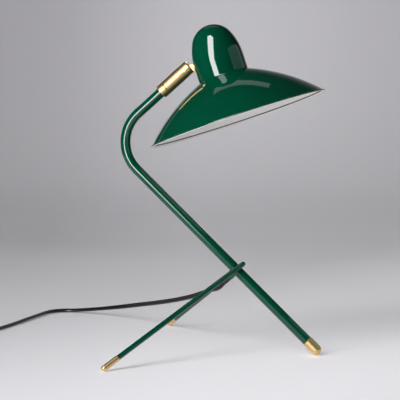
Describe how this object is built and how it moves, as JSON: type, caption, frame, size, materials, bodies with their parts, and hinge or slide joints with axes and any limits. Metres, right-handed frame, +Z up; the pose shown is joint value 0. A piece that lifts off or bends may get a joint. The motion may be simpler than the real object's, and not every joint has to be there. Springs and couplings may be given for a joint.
{
  "type": "table lamp",
  "caption": "Table lamp with a bent-tube stand on a hairpin leg, brass ball feet and a brass swivel that tilts a wide brimmed domed shade; cord with rocker switch and plug.",
  "frame": {"origin": "on the table, under the middle of the lamp's own box, cord left out", "axes": "+Z up, +X the way the shade throws its light, the lamp's middle plane is Y = 0"},
  "size_m": [0.5966, 0.3998, 0.4185],
  "materials": {
    "green_paint": "dark green gloss paint",
    "brass": "polished brass",
    "washer_fibre": "pressed fibre",
    "zinc_steel": "zinc plated",
    "holder_plastic": "moulded black",
    "bulb_cap": "rolled thread shell",
    "opal_glass": "opal",
    "black_cord": "smooth black sheath",
    "black_plastic": "fine moulded black",
    "tie_strap": "woven strap",
    "plug_pin": "nickel plated"
  },
  "bodies": {
    "base": {"stand_tube": "green_paint", "foot_main": "brass", "hairpin_leg": "green_paint", "foot_front": "brass", "foot_back": "brass", "cord_boss": "green_paint", "strain_relief": "black_cord", "tube_flex": "black_cord", "swivel_collar": "brass", "swivel_spindle": "brass", "cord_lead": "black_cord", "switch_base": "black_plastic", "switch_cover": "black_plastic", "switch_screws": "zinc_steel", "cord_link": "black_cord", "cord_coil": "black_cord", "coil_tie": "tie_strap", "cord_tail": "black_cord", "plug_body": "black_plastic", "plug_pins": "plug_pin"},
    "barrel": {"barrel": "brass", "retaining_screw": "brass", "pivot_pin": "brass", "friction_washers": "washer_fibre"},
    "shade": {"tongue": "brass", "shade": "green_paint", "stud_spacer": "brass", "holder_bracket": "zinc_steel", "stud_nut": "brass", "holder_nipple": "brass", "nipple_nut": "brass", "lampholder_cap": "holder_plastic", "lampholder_body": "holder_plastic", "lampholder_insert": "holder_plastic", "centre_contact": "brass", "shade_flex": "black_cord", "bulb_base": "bulb_cap", "bulb_glass": "opal_glass"},
    "rocker": {"switch_rocker": "black_plastic"}
  },
  "joints": [
    {"name": "barrel_swivel", "type": "hinge", "parent": "base", "child": "barrel", "pos_m": [-0.07461, 0, 0.33576], "axis": [0.7524, 0, 0.6587], "range_deg": [-150, 150]},
    {"name": "shade_tilt", "type": "hinge", "parent": "barrel", "child": "shade", "pos_m": [-0.04654, 0, 0.36033], "axis": [0, -1, 0], "range_deg": [-12, 65]},
    {"name": "switch_rock", "type": "hinge", "parent": "base", "child": "rocker", "pos_m": [-0.353, -0.0425, 0.0116], "axis": [0.9903, -0.1392, 0], "range_deg": [0, 14]}
  ]
}
